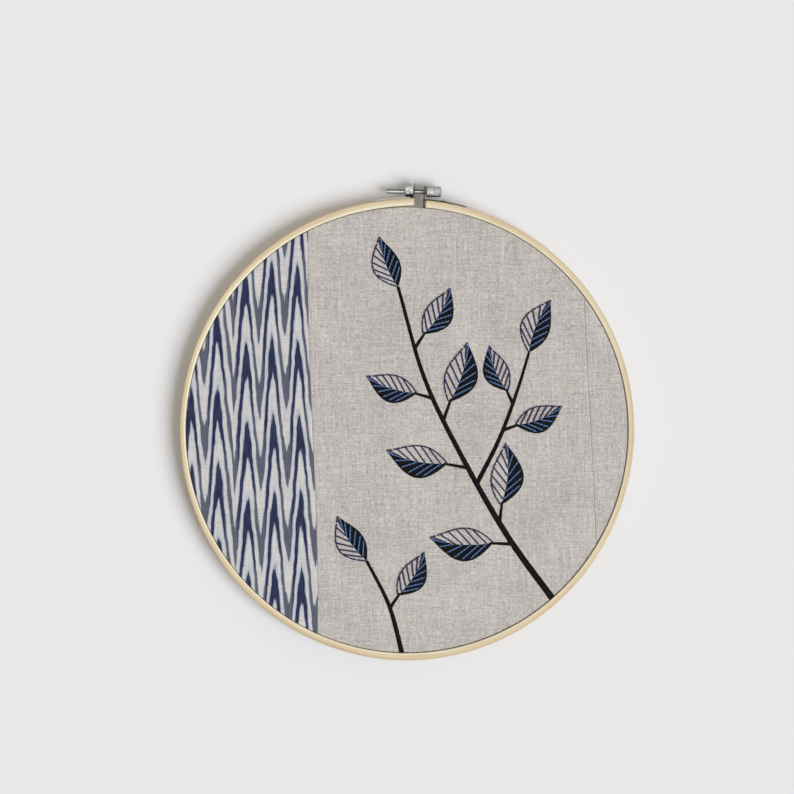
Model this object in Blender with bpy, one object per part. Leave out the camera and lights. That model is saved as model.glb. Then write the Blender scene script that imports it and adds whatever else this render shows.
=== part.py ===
"""Hoop embroidery art: patched cloth stretched between the two rings of a bamboo embroidery hoop.

The hoop hangs upright. +Z is up, the cloth faces -Y, and the wall is the plane Y = 0. The origin is
where a nail carries the hoop: on the wall plane, under the top of the inner ring.
"""
import math

import bmesh
import bpy

MM = 0.001

# The outer hoop seen face on: a 12 inch hoop, a little taller than wide
OUTSIDE_WIDTH = 305.0 * MM
OUTSIDE_HEIGHT = 309.2 * MM
OPENING_WIDTH = 297.4 * MM
OPENING_HEIGHT = 299.6 * MM

# Both rings are bent from one strip of bamboo
STRIP_DEPTH = 9.5 * MM
INNER_RING_THICKNESS = 4.0 * MM
EDGE_CHAMFER = 0.7 * MM

# The cloth and its place between the rings
CLOTH_THICKNESS = 1.0 * MM
FIT_GAP = 0.3 * MM
CLOTH_RECESS = 1.0 * MM
SKIRT_TRIM = 1.0 * MM
SEAM_GAP = 0.3 * MM
SEAM_ALLOWANCE = 8.0 * MM
ALLOWANCE_CLEARANCE = 0.5 * MM

# The split in the outer hoop, a little right of the top, and its sprung left end
GAP_ANGLE = math.radians(3.3)
GAP_WIDTH = 7.9 * MM
END_LIFT = 1.1 * MM
LIFT_LENGTH = 40.0 * MM

# The clamp, measured from the middle of the split and from the centre of the hoop
SHEET_STEEL = 0.55 * MM
BRACKET_WIDTH = 8.0 * MM
BRACKET_CORNER = 2.4 * MM
STRAP_LENGTH = 28.0 * MM
SCREW_RADIUS = 1.5 * MM
EAR_HOLE_RADIUS = 2.05 * MM
NUT_BORE_RADIUS = 1.85 * MM
SCREW_HEIGHT = 160.6 * MM
SCREW_TILT = math.radians(2.6)
SCREW_CLEARANCE = 0.45 * MM
HOLE_REACH = 60.0 * MM
SCREW_TIP = -23.3 * MM
LEFT_EAR_FACE = -3.9 * MM
LEFT_EAR_RISE = 5.4 * MM
RIGHT_EAR_FACE = 2.0 * MM
RIGHT_EAR_RISE = 4.1 * MM
KNOB_RADIUS = 3.6 * MM
KNOB_LENGTH = 10.3 * MM
KNOB_CHAMFER = 0.7 * MM
NUT_FLATS = 6.4 * MM
NUT_LENGTH = 5.5 * MM
RIVET_PLACE = 16.0 * MM
RIVET_SHANK_RADIUS = 1.0 * MM
RIVET_HOLE_RADIUS = 1.3 * MM
RIVET_HEAD_RADIUS = 2.4 * MM
RIVET_HEAD_HEIGHT = 0.6 * MM

# The seams: height above the centre of the hoop, and distance to the right of it
LEFT_SEAM = [
    (-160.0 * MM, -61.0 * MM),
    (-64.0 * MM, -61.0 * MM),
    (20.0 * MM, -64.3 * MM),
    (65.0 * MM, -66.2 * MM),
    (160.0 * MM, -65.5 * MM),
]
RIGHT_SEAM = [
    (-160.0 * MM, 125.6 * MM),
    (-20.0 * MM, 125.2 * MM),
    (13.0 * MM, 121.6 * MM),
    (90.0 * MM, 119.4 * MM),
    (160.0 * MM, 118.6 * MM),
]

ROUND_SIDES = 120
CLOTH_CORNER_STEPS = 3
STRAP_STEPS = 12
BEVEL_STEPS = 4
DOME_STEPS = 3
RIVET_SIDES = 16
CUTTER_SIDES = 20
SCREW_SIDES = 32

# Depths, counted from the wall plane towards the viewer
INNER_FRONT = -STRIP_DEPTH
CLOTH_BACK = INNER_FRONT - FIT_GAP
CLOTH_FRONT = CLOTH_BACK - CLOTH_THICKNESS
OUTER_FRONT = CLOTH_FRONT - CLOTH_RECESS
OUTER_BACK = OUTER_FRONT + STRIP_DEPTH
STRIP_MIDDLE = (OUTER_FRONT + OUTER_BACK) / 2

# Insets from the inside face of the outer hoop
SKIRT_OUTSIDE = FIT_GAP
SKIRT_INSIDE = SKIRT_OUTSIDE + CLOTH_THICKNESS
INNER_RING_OUTSIDE = SKIRT_INSIDE + FIT_GAP
INNER_RING_INSIDE = INNER_RING_OUTSIDE + INNER_RING_THICKNESS

SIDE_THICKNESS = (OUTSIDE_WIDTH - OPENING_WIDTH) / 2
TOP_THICKNESS = (OUTSIDE_HEIGHT - OPENING_HEIGHT) / 2
CENTRE_Z = INNER_RING_INSIDE - OPENING_HEIGHT / 2
GAP_HALF_ANGLE = math.asin(GAP_WIDTH / OUTSIDE_HEIGHT)


def oval(angle, inset):
    """The point (x, z) that lies inset inside the opening's edge; the angle runs clockwise from the top."""
    x = (OPENING_WIDTH / 2 - inset) * math.sin(angle)
    z = (OPENING_HEIGHT / 2 - inset) * math.cos(angle)
    return x, z


def outer_hoop_point(angle, share, stand=0.0):
    """The point (x, z) in the outer hoop's strip; share is 0 at its inside face and 1 at its outside face.

    The strip is thicker at the top and bottom than at the sides. Its left end stands up a little.
    """
    half_width = OPENING_WIDTH / 2 + share * SIDE_THICKNESS
    half_height = OPENING_HEIGHT / 2 + share * TOP_THICKNESS
    from_left_end = (GAP_ANGLE - GAP_HALF_ANGLE - angle) % math.tau
    run = LIFT_LENGTH / half_height
    lift = END_LIFT * max(0.0, 1.0 - from_left_end / run) ** 2 if from_left_end < run else 0.0
    x = (half_width + lift + stand) * math.sin(angle)
    z = (half_height + lift + stand) * math.cos(angle)
    return x, z


def material(name, colour, roughness, metallic=0.0):
    made = bpy.data.materials.new(name)
    made.use_nodes = True
    shader = made.node_tree.nodes["Principled BSDF"]
    shader.inputs["Base Color"].default_value = (*colour, 1.0)
    shader.inputs["Roughness"].default_value = roughness
    shader.inputs["Metallic"].default_value = metallic
    return made


def add_object(name, mesh_maker, finish=None, parent=None):
    """Turn a finished bmesh into an object; one with no finish is a cutter."""
    bmesh.ops.recalc_face_normals(mesh_maker, faces=mesh_maker.faces)
    mesh = bpy.data.meshes.new(name)
    mesh_maker.to_mesh(mesh)
    mesh_maker.free()
    made = bpy.data.objects.new(name, mesh)
    bpy.context.scene.collection.objects.link(made)
    made.parent = parent
    if finish is None:
        made.hide_render = True
        made.display_type = "WIRE"
    else:
        mesh.materials.append(finish)
        mesh.shade_smooth()
        mesh.set_sharp_from_angle(angle=math.radians(30))
    return made


def boolean(target, cutter, operation):
    cut = target.modifiers.new(cutter.name, "BOOLEAN")
    cut.operation = operation
    cut.solver = "EXACT"
    cut.object = cutter


def loft(loops, closed, capped):
    """Join like loops of points with quads; closed joins last to first, capped fills both ends."""
    bm = bmesh.new()
    rings = [[bm.verts.new(point) for point in loop] for loop in loops]
    pairs = list(zip(rings, rings[1:]))
    if closed:
        pairs.append((rings[-1], rings[0]))
    for near, far in pairs:
        for i in range(len(near)):
            j = (i + 1) % len(near)
            bm.faces.new((near[i], near[j], far[j], far[i]))
    if capped:
        bm.faces.new(rings[0])
        bm.faces.new(rings[-1])
    return bm


def whole_turn():
    return [math.tau * i / ROUND_SIDES for i in range(ROUND_SIDES)]


def oval_loop(inset, y):
    return [(x, y, z + CENTRE_Z) for x, z in (oval(angle, inset) for angle in whole_turn())]


def turned(rows, sides, start=0.0):
    """A solid of revolution about local Z, from rows of (radius, height), with flat ends."""
    angles = [start + math.tau * i / sides for i in range(sides)]
    loops = []
    for radius, height in rows:
        loops.append([(radius * math.cos(a), radius * math.sin(a), height) for a in angles])
    return loft(loops, closed=False, capped=True)


def prism(outline, low_y, high_y):
    """An outline of (x, z) points, drawn out from low_y to high_y."""
    loops = [[(x, y, z) for x, z in outline] for y in (low_y, high_y)]
    return loft(loops, closed=False, capped=True)


def make_outer_hoop(finish):
    """A strip with chamfered edges, bent round from one side of the split to the other."""
    mean_thickness = (SIDE_THICKNESS + TOP_THICKNESS) / 2
    chamfer = EDGE_CHAMFER / mean_thickness
    section = [
        (0.0, OUTER_FRONT + EDGE_CHAMFER),
        (chamfer, OUTER_FRONT),
        (1.0 - chamfer, OUTER_FRONT),
        (1.0, OUTER_FRONT + EDGE_CHAMFER),
        (1.0, OUTER_BACK - EDGE_CHAMFER),
        (1.0 - chamfer, OUTER_BACK),
        (chamfer, OUTER_BACK),
        (0.0, OUTER_BACK - EDGE_CHAMFER),
    ]
    first = GAP_ANGLE + GAP_HALF_ANGLE
    sweep = math.tau - 2 * GAP_HALF_ANGLE
    loops = []
    for i in range(ROUND_SIDES + 1):
        angle = first + sweep * i / ROUND_SIDES
        loop = []
        for share, y in section:
            x, z = outer_hoop_point(angle, share)
            loop.append((x, y, z + CENTRE_Z))
        loops.append(loop)
    return add_object("outer_hoop", loft(loops, closed=False, capped=True), finish)


def make_inner_hoop(finish):
    """A closed ring behind the cloth; its flat back rim lies on the wall."""
    outside = INNER_RING_OUTSIDE
    inside = INNER_RING_INSIDE
    section = [
        (inside, INNER_FRONT + EDGE_CHAMFER),
        (inside - EDGE_CHAMFER, INNER_FRONT),
        (outside + EDGE_CHAMFER, INNER_FRONT),
        (outside, INNER_FRONT + EDGE_CHAMFER),
        (outside, -EDGE_CHAMFER),
        (outside + EDGE_CHAMFER, 0.0),
        (inside - EDGE_CHAMFER, 0.0),
        (inside, -EDGE_CHAMFER),
    ]
    loops = [oval_loop(inset, y) for inset, y in section]
    add_object("inner_hoop", loft(loops, closed=True, capped=False), finish)


def cloth_cap():
    """Cloth stretched over the front of the inner ring and back between the rings, trimmed behind."""
    rows = []
    for i in range(CLOTH_CORNER_STEPS + 1):
        turn = math.pi / 2 * i / CLOTH_CORNER_STEPS
        inset = SKIRT_INSIDE - CLOTH_THICKNESS * math.sin(turn)
        y = CLOTH_BACK - CLOTH_THICKNESS * math.cos(turn)
        rows.append((inset, y))
    rows.append((SKIRT_OUTSIDE, -SKIRT_TRIM))
    rows.append((SKIRT_INSIDE, -SKIRT_TRIM))
    rows.append((SKIRT_INSIDE, CLOTH_BACK))
    return loft([oval_loop(inset, y) for inset, y in rows], closed=False, capped=True)


def make_seam_fold(name, seam, plug):
    """A seam's two allowances, pressed open behind the cloth, as one block that the seam divides."""
    web = SEAM_GAP / 2 + CLOTH_THICKNESS
    layer_front = CLOTH_BACK + FIT_GAP
    layer_back = layer_front + CLOTH_THICKNESS
    web_front = CLOTH_FRONT + CLOTH_THICKNESS / 2
    section = [
        (-web, web_front),
        (web, web_front),
        (web, layer_front),
        (SEAM_ALLOWANCE, layer_front),
        (SEAM_ALLOWANCE, layer_back),
        (-SEAM_ALLOWANCE, layer_back),
        (-SEAM_ALLOWANCE, layer_front),
        (-web, layer_front),
    ]
    loops = [[(across + x, y, height + CENTRE_Z) for x, y in section] for height, across in seam]
    fold = add_object(name, loft(loops, closed=False, capped=True))
    boolean(fold, plug, "INTERSECT")
    return fold


def make_panel_space(name, left_seam, right_seam):
    """The space that one panel may fill, between two seams or out past the hoop's edge."""
    beyond = OUTSIDE_WIDTH
    if left_seam:
        left_side = [(across + SEAM_GAP / 2, height) for height, across in left_seam]
    else:
        left_side = [(-beyond, height) for height, _ in right_seam]
    if right_seam:
        right_side = [(across - SEAM_GAP / 2, height) for height, across in right_seam]
    else:
        right_side = [(beyond, height) for height, _ in left_seam]
    outline = [(x, height + CENTRE_Z) for x, height in left_side + right_side[::-1]]
    return add_object(name, prism(outline, 2 * OUTER_FRONT, -OUTER_FRONT))


def make_panel(name, folds, space, finish):
    """One panel: the stretched cloth and its seam allowances, cut at the seams."""
    panel = add_object(name, cloth_cap(), finish)
    for fold in folds:
        boolean(panel, fold, "UNION")
    boolean(panel, space, "INTERSECT")


def in_clamp_frame(x, z):
    """Turn a point seen from the hoop's centre into (along, height), with height towards the split."""
    along = x * math.cos(GAP_ANGLE) - z * math.sin(GAP_ANGLE)
    height = x * math.sin(GAP_ANGLE) + z * math.cos(GAP_ANGLE)
    return along, height


def strap_point(side, distance, stand):
    """A point (along, height) that stands over the outside face, distance from the middle of the split."""
    angle = GAP_ANGLE + side * math.asin(2 * distance / OUTSIDE_HEIGHT)
    return in_clamp_frame(*outer_hoop_point(angle, 1.0, stand))


def bracket_outline(side, ear_near, ear_far, ear_top, tongue_foot=None):
    """The bent sheet's outline in (along, height): a strap on the hoop, an ear, and perhaps a tongue.

    The ear's face on the side of the split is at ear_near, and its other face is at ear_far.
    """
    low = FIT_GAP
    high = FIT_GAP + SHEET_STEEL
    near_end = abs(ear_far)
    far_end = GAP_WIDTH / 2 + STRAP_LENGTH
    stations = [near_end + (far_end - near_end) * i / STRAP_STEPS for i in range(STRAP_STEPS + 1)]
    top_side = [strap_point(side, distance, high) for distance in stations]
    bottom_side = [strap_point(side, distance, low) for distance in stations]
    ear_foot = bottom_side[0][1]
    outline = [(ear_near, ear_top), (ear_far, ear_top), (ear_far, top_side[0][1])]
    outline += top_side[1:]
    outline += bottom_side[:0:-1]
    outline.append((ear_far, ear_foot))
    if tongue_foot is None:
        outline.append((ear_near, ear_foot))
    else:
        tongue_back = ear_near + side * SHEET_STEEL
        outline.append((tongue_back, ear_foot))
        outline.append((tongue_back, tongue_foot))
        outline.append((ear_near, tongue_foot))
    return outline


def round_bracket_corners(bm, ear_top):
    """Round the ear's two top corners and the strap's two end corners."""
    farthest = max(abs(v.co.x) for v in bm.verts)
    chosen = []
    for edge in bm.edges:
        a, b = edge.verts
        across_sheet = abs(a.co.y - b.co.y) < FIT_GAP
        at_ear_top = min(a.co.z, b.co.z) > ear_top - FIT_GAP
        at_strap_end = min(abs(a.co.x), abs(b.co.x)) > farthest - FIT_GAP
        if across_sheet and (at_ear_top or at_strap_end):
            chosen.append(edge)
    bmesh.ops.bevel(
        bm,
        geom=chosen,
        offset=BRACKET_CORNER,
        segments=BEVEL_STEPS,
        profile=0.5,
        affect="EDGES",
    )


def make_bracket(name, outline, ear_top, clamp, cutters, finish):
    bm = prism(outline, STRIP_MIDDLE - BRACKET_WIDTH / 2, STRIP_MIDDLE + BRACKET_WIDTH / 2)
    round_bracket_corners(bm, ear_top)
    bracket = add_object(name, bm, finish, clamp)
    for cutter in cutters:
        boolean(bracket, cutter, "DIFFERENCE")


def add_axis(name, tilt):
    """An empty in the middle of the split at the screw's height, with +Z along the screw to the right."""
    axis = bpy.data.objects.new(name, None)
    axis.location = (0.0, STRIP_MIDDLE, SCREW_HEIGHT)
    axis.rotation_euler = (0.0, math.pi / 2 - tilt, 0.0)
    axis.parent = clamp
    bpy.context.scene.collection.objects.link(axis)
    return axis


def add_long_hole(name, radius, axis):
    """A cutter for a hole along an axis, past both ends of the clamp."""
    rows = [(radius, -HOLE_REACH / 2), (radius, HOLE_REACH / 2)]
    return add_object(name, turned(rows, CUTTER_SIDES), None, axis)


def stand_on_strap(made, side):
    """Set a turned piece upright on the outside face, at the rivet's place."""
    along, height = strap_point(side, RIVET_PLACE, 0.0)
    made.location = (along, STRIP_MIDDLE, height)
    made.rotation_euler = (0.0, math.atan2(along, height), 0.0)


def make_screw(axis, finish):
    """A threaded rod, drawn as its outer cylinder, with a knurled head."""
    knob_start = RIGHT_EAR_FACE + 2 * SHEET_STEEL + SCREW_CLEARANCE
    knob_end = knob_start + KNOB_LENGTH
    tip_chamfer = SCREW_RADIUS / 3
    rows = [
        (SCREW_RADIUS - tip_chamfer, SCREW_TIP),
        (SCREW_RADIUS, SCREW_TIP + tip_chamfer),
        (SCREW_RADIUS, knob_start),
        (KNOB_RADIUS - KNOB_CHAMFER, knob_start),
        (KNOB_RADIUS, knob_start + KNOB_CHAMFER),
        (KNOB_RADIUS, knob_end - KNOB_CHAMFER),
        (KNOB_RADIUS - KNOB_CHAMFER, knob_end),
    ]
    add_object("clamp_screw", turned(rows, SCREW_SIDES), finish, axis)


def make_nut(axis, bore, finish):
    """A hexagon nut that stands a little off the left ear, with a flat side to the front."""
    corner_radius = NUT_FLATS / 2 / math.cos(math.pi / 6)
    nut_end = LEFT_EAR_FACE - SHEET_STEEL - SCREW_CLEARANCE
    rows = [(corner_radius, nut_end - NUT_LENGTH), (corner_radius, nut_end)]
    nut = add_object("clamp_nut", turned(rows, 6), finish, axis)
    boolean(nut, bore, "DIFFERENCE")


def make_rivet(name, side, clamp, finish):
    """A round-headed rivet through the strap and the strip, short of the strip's inside face."""
    under_head = 2 * FIT_GAP + SHEET_STEEL
    rows = [(RIVET_SHANK_RADIUS, FIT_GAP - TOP_THICKNESS), (RIVET_SHANK_RADIUS, under_head)]
    for step in range(DOME_STEPS + 1):
        turn = math.pi / 2 * step / (DOME_STEPS + 1)
        rows.append((RIVET_HEAD_RADIUS * math.cos(turn), under_head + RIVET_HEAD_HEIGHT * math.sin(turn)))
    rivet = add_object(name, turned(rows, RIVET_SIDES), finish, clamp)
    stand_on_strap(rivet, side)


for old in list(bpy.data.objects):
    bpy.data.objects.remove(old)

bamboo = material("bamboo", (0.64, 0.50, 0.30), 0.42)
ikat_cotton = material("ikat_cotton", (0.36, 0.36, 0.45), 0.9)
linen = material("linen", (0.55, 0.51, 0.47), 0.9)
steel = material("plated_steel", (0.62, 0.63, 0.62), 0.3, 1.0)

# Rings
outer_hoop = make_outer_hoop(bamboo)
make_inner_hoop(bamboo)

# Cloth
plug_inset = INNER_RING_INSIDE + ALLOWANCE_CLEARANCE
plug_loops = [oval_loop(plug_inset, 2 * OUTER_FRONT), oval_loop(plug_inset, 0.0)]
plug = add_object("inside_of_inner_hoop", loft(plug_loops, closed=False, capped=True))
left_fold = make_seam_fold("left_seam_fold", LEFT_SEAM, plug)
right_fold = make_seam_fold("right_seam_fold", RIGHT_SEAM, plug)
ikat_space = make_panel_space("ikat_space", None, LEFT_SEAM)
linen_space = make_panel_space("linen_space", LEFT_SEAM, RIGHT_SEAM)
side_space = make_panel_space("side_space", RIGHT_SEAM, None)
make_panel("ikat_panel", [left_fold], ikat_space, ikat_cotton)
make_panel("linen_panel", [left_fold, right_fold], linen_space, linen)
make_panel("linen_side_panel", [right_fold], side_space, linen)

# Clamp, in a frame of its own that is turned to the split
clamp = bpy.data.objects.new("clamp", None)
clamp.location = (0.0, 0.0, CENTRE_Z)
clamp.rotation_euler = (0.0, GAP_ANGLE, 0.0)
bpy.context.scene.collection.objects.link(clamp)

# The screw lies a little askew in the ears' holes, so that it is nearly level
ear_axis = add_axis("ear_axis", 0.0)
screw_axis = add_axis("screw_axis", SCREW_TILT)
ear_hole = add_long_hole("ear_hole", EAR_HOLE_RADIUS, ear_axis)
nut_bore = add_long_hole("nut_bore", NUT_BORE_RADIUS, screw_axis)

rivet_hole_rows = [(RIVET_HOLE_RADIUS, -2 * TOP_THICKNESS), (RIVET_HOLE_RADIUS, TOP_THICKNESS)]
rivet_holes = {}
for side, side_name in ((-1, "left"), (1, "right")):
    hole = add_object("rivet_hole_" + side_name, turned(rivet_hole_rows, CUTTER_SIDES), None, clamp)
    stand_on_strap(hole, side)
    boolean(outer_hoop, hole, "DIFFERENCE")
    rivet_holes[side_name] = hole
    make_rivet("rivet_" + side_name, side, clamp, steel)

left_top = SCREW_HEIGHT + LEFT_EAR_RISE
left_outline = bracket_outline(-1, LEFT_EAR_FACE, LEFT_EAR_FACE - SHEET_STEEL, left_top)
make_bracket("bracket_left", left_outline, left_top, clamp, [ear_hole, rivet_holes["left"]], steel)

right_top = SCREW_HEIGHT + RIGHT_EAR_RISE
tongue_foot = OPENING_HEIGHT / 2 + FIT_GAP
right_ear_far = RIGHT_EAR_FACE + 2 * SHEET_STEEL
right_outline = bracket_outline(1, RIGHT_EAR_FACE, right_ear_far, right_top, tongue_foot)
make_bracket("bracket_right", right_outline, right_top, clamp, [ear_hole, rivet_holes["right"]], steel)

make_screw(screw_axis, steel)
make_nut(screw_axis, nut_bore, steel)
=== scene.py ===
"""Looks of a piece of hoop embroidery art: patched cloth stretched in a split bamboo embroidery hoop.

Units are metres. +Z is up, the cloth faces -Y and the wall is the plane Y = 0. The sections follow
the work as it is put together: cloth, print, stitches, hoops, clamp, and then the wall it hangs on.
"""
import math
import random

import bmesh
import bpy
import numpy as np
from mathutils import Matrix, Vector
from mathutils.geometry import delaunay_2d_cdt


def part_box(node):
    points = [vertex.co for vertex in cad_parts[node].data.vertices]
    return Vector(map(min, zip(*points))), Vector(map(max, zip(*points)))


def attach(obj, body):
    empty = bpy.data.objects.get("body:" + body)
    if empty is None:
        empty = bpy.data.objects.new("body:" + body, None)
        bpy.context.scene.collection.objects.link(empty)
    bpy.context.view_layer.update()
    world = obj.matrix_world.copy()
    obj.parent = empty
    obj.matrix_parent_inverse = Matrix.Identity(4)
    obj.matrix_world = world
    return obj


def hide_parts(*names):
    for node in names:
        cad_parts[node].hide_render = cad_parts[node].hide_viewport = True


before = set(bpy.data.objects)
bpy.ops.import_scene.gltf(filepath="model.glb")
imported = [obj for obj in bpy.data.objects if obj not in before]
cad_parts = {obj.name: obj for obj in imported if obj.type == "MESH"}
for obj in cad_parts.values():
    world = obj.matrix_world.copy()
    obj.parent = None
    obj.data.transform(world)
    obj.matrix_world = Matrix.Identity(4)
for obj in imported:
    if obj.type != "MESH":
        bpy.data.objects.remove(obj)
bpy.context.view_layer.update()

# Patched cloth
# Three panels sewn edge to edge, ikat cotton at the left and natural linen beside it, with a narrow slice
# of the same linen at the right. The seams are pressed open, and the whole is stretched over the inner hoop.

MM = 0.001
inner_low, inner_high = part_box("inner_hoop")
cloth_low, cloth_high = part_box("linen_panel")
CENTRE = (inner_low + inner_high) / 2
RING_ACROSS = (inner_high.x - inner_low.x) / 2
RING_UP = (inner_high.z - inner_low.z) / 2

CLOTH_THICKNESS = 0.42 * MM
FRONT_Y = cloth_low.y + 0.4 * MM
SKIRT_END_Y = cloth_high.y
SKIRT_OUTWARD = 1.1 * MM
EDGE_BEND = 0.55 * MM
SKIRT_LENGTH = SKIRT_END_Y - FRONT_Y - EDGE_BEND
BEND_OUTWARD = SKIRT_OUTWARD - EDGE_BEND
SEAM_ALLOWANCE = 8.0 * MM
SEAM_FOLD = 0.225 * MM
SEAM_CLEARANCE = 0.22 * MM
FLAT_BESIDE_SEAM = 30 * MM
# The flat cut's points: how far apart they lie, and how far its grid and its rim loops stay from other rows.
FLAT_STEP = 2.5 * MM
RIM_STEP = 2.1 * MM
GRID_TO_BEND = 9 * MM
GRID_TO_SEAM = 3.4 * MM
LOOP_TO_SEAM = 3.0 * MM
# How much of a seam's bends the threads follow: far from it, how much more beside it, and that one's reach.
PULL_FAR = 0.10
PULL_BESIDE = 0.42
PULL_REACH = 45 * MM

# Where the two seams run: height above the hoop's middle, and place across it, in mm.
LEFT_SEAM = ((-160, -61.0), (-64, -61.0), (20, -64.3), (65, -66.2), (160, -65.5))
RIGHT_SEAM = ((-160, 125.6), (-20, 125.2), (13, 121.6), (90, 119.4), (160, 118.6))

# Slow unevenness of the stretched cloth: waves for each metre across and up, start and height in mm.
UNEVENNESS = ((9.0, 4.0, 0.4, 0.11), (-5.5, 12.0, 1.9, 0.10), (15.0, -8.0, 3.3, 0.06), (3.0, 21.0, 5.0, 0.04))
UNEVENNESS_FADE = 14 * MM


def seam_line(points):
    """A smooth line through a seam's points, as a function from height to place across, in metres."""
    heights, places = np.array(points).T * MM
    return np.polynomial.Polynomial.fit(heights, places, 3)


def rim_radius(across, up, outward):
    """How far from the middle, towards (across, up), an oval lies that is outward of the inner hoop."""
    reach = np.maximum(np.hypot(across, up), 1e-9)
    return reach / np.hypot(across / (RING_ACROSS + outward), up / (RING_UP + outward))


def rim_point(outward, turn):
    """The point of such an oval at a turn, which runs up from the right."""
    return (RING_ACROSS + outward) * math.cos(turn), (RING_UP + outward) * math.sin(turn)


def past_bend(across, up):
    """How far a point of the flat cloth lies past the line where the cloth starts to turn over the rim."""
    return np.hypot(across, up) - rim_radius(across, up, BEND_OUTWARD)


def unevenness(across, up):
    """How far the stretched cloth's front lies behind its true plane, which fades to nothing at the rim."""
    height = 0
    for waves_across, waves_up, start, size in UNEVENNESS:
        height = height + size * MM * np.sin(math.tau * (waves_across * across + waves_up * up) + start)
    return height * np.clip(-past_bend(across, up) / UNEVENNESS_FADE, 0, 1)


def on_hoop(across, up, depth):
    """Places points of the flat cloth on the hoop: over the front, round the edge and back along the ring.
    depth is how far a point lies behind the cloth's middle surface."""
    reach = np.maximum(np.hypot(across, up), 1e-9)
    past = past_bend(across, up)
    turn = np.clip(past / EDGE_BEND, 0, math.pi / 2)
    bend = EDGE_BEND - depth
    out = reach - np.maximum(past, 0) + bend * np.sin(turn)
    back = FRONT_Y + unevenness(across, up) + EDGE_BEND - bend * np.cos(turn)
    back = back + np.maximum(past - EDGE_BEND * math.pi / 2, 0)
    share = out / reach
    return np.column_stack((CENTRE.x + across * share, back, CENTRE.z + up * share))


def fold_at_seam(inside):
    """Folds a panel at its seam. inside is the flat distance in from the seam line, below zero in the
    allowance. Gives the distance in from the line once folded, and the depth behind the front."""
    quarter = SEAM_FOLD * math.pi / 2
    turn = np.clip(inside / SEAM_FOLD, -math.pi / 2, math.pi / 2)
    straight = np.maximum(np.abs(inside) - quarter, 0)
    folded = SEAM_CLEARANCE + SEAM_FOLD * (1 - np.cos(turn)) + straight
    return folded, SEAM_FOLD * (1 - np.sin(turn))


def rim_crossing(line, inside, past, end):
    """The height where the line beside a seam meets a rim loop, at the top (end 1) or the bottom (end -1)."""
    up = end * RING_UP
    outward = BEND_OUTWARD + past
    for _ in range(6):
        across = (line(up) + inside) / (RING_ACROSS + outward)
        up = end * (RING_UP + outward) * math.sqrt(max(1 - across * across, 0))
    return up


def flat_mesh(corners, outlines, rows=()):
    """Triangles that fill the outlines. Extra corners inside them are used too, and rows become edges."""
    points = [Vector(corner) for corner in corners]
    faces = []
    edges = []
    for outline in outlines:
        faces.append(list(range(len(points), len(points) + len(outline))))
        points.extend(Vector(corner) for corner in outline)
    for row in rows:
        edges.extend((len(points) + i, len(points) + i + 1) for i in range(len(row) - 1))
        points.extend(Vector(corner) for corner in row)
    flat, _, triangles, *_ = delaunay_2d_cdt(points, edges, faces, 1, 1e-6)
    used = sorted({corner for triangle in triangles for corner in triangle})
    order = {corner: i for i, corner in enumerate(used)}
    return np.array([tuple(flat[corner]) for corner in used]), [tuple(order[c] for c in t) for t in triangles]


def placed(name, data):
    """Makes an object of some data and puts it in the scene."""
    made = bpy.data.objects.new(name, data)
    bpy.context.scene.collection.objects.link(made)
    return made


def add_piece(name, points, faces, material, sharp=40):
    """Makes a smooth-shaded mesh object of one material, with its edges sharp past an angle in degrees."""
    mesh = bpy.data.meshes.new(name)
    mesh.from_pydata([tuple(point) for point in points], [], faces)
    mesh.shade_smooth()
    mesh.set_sharp_from_angle(angle=math.radians(sharp))
    mesh.materials.append(material)
    return placed(name, mesh)


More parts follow.
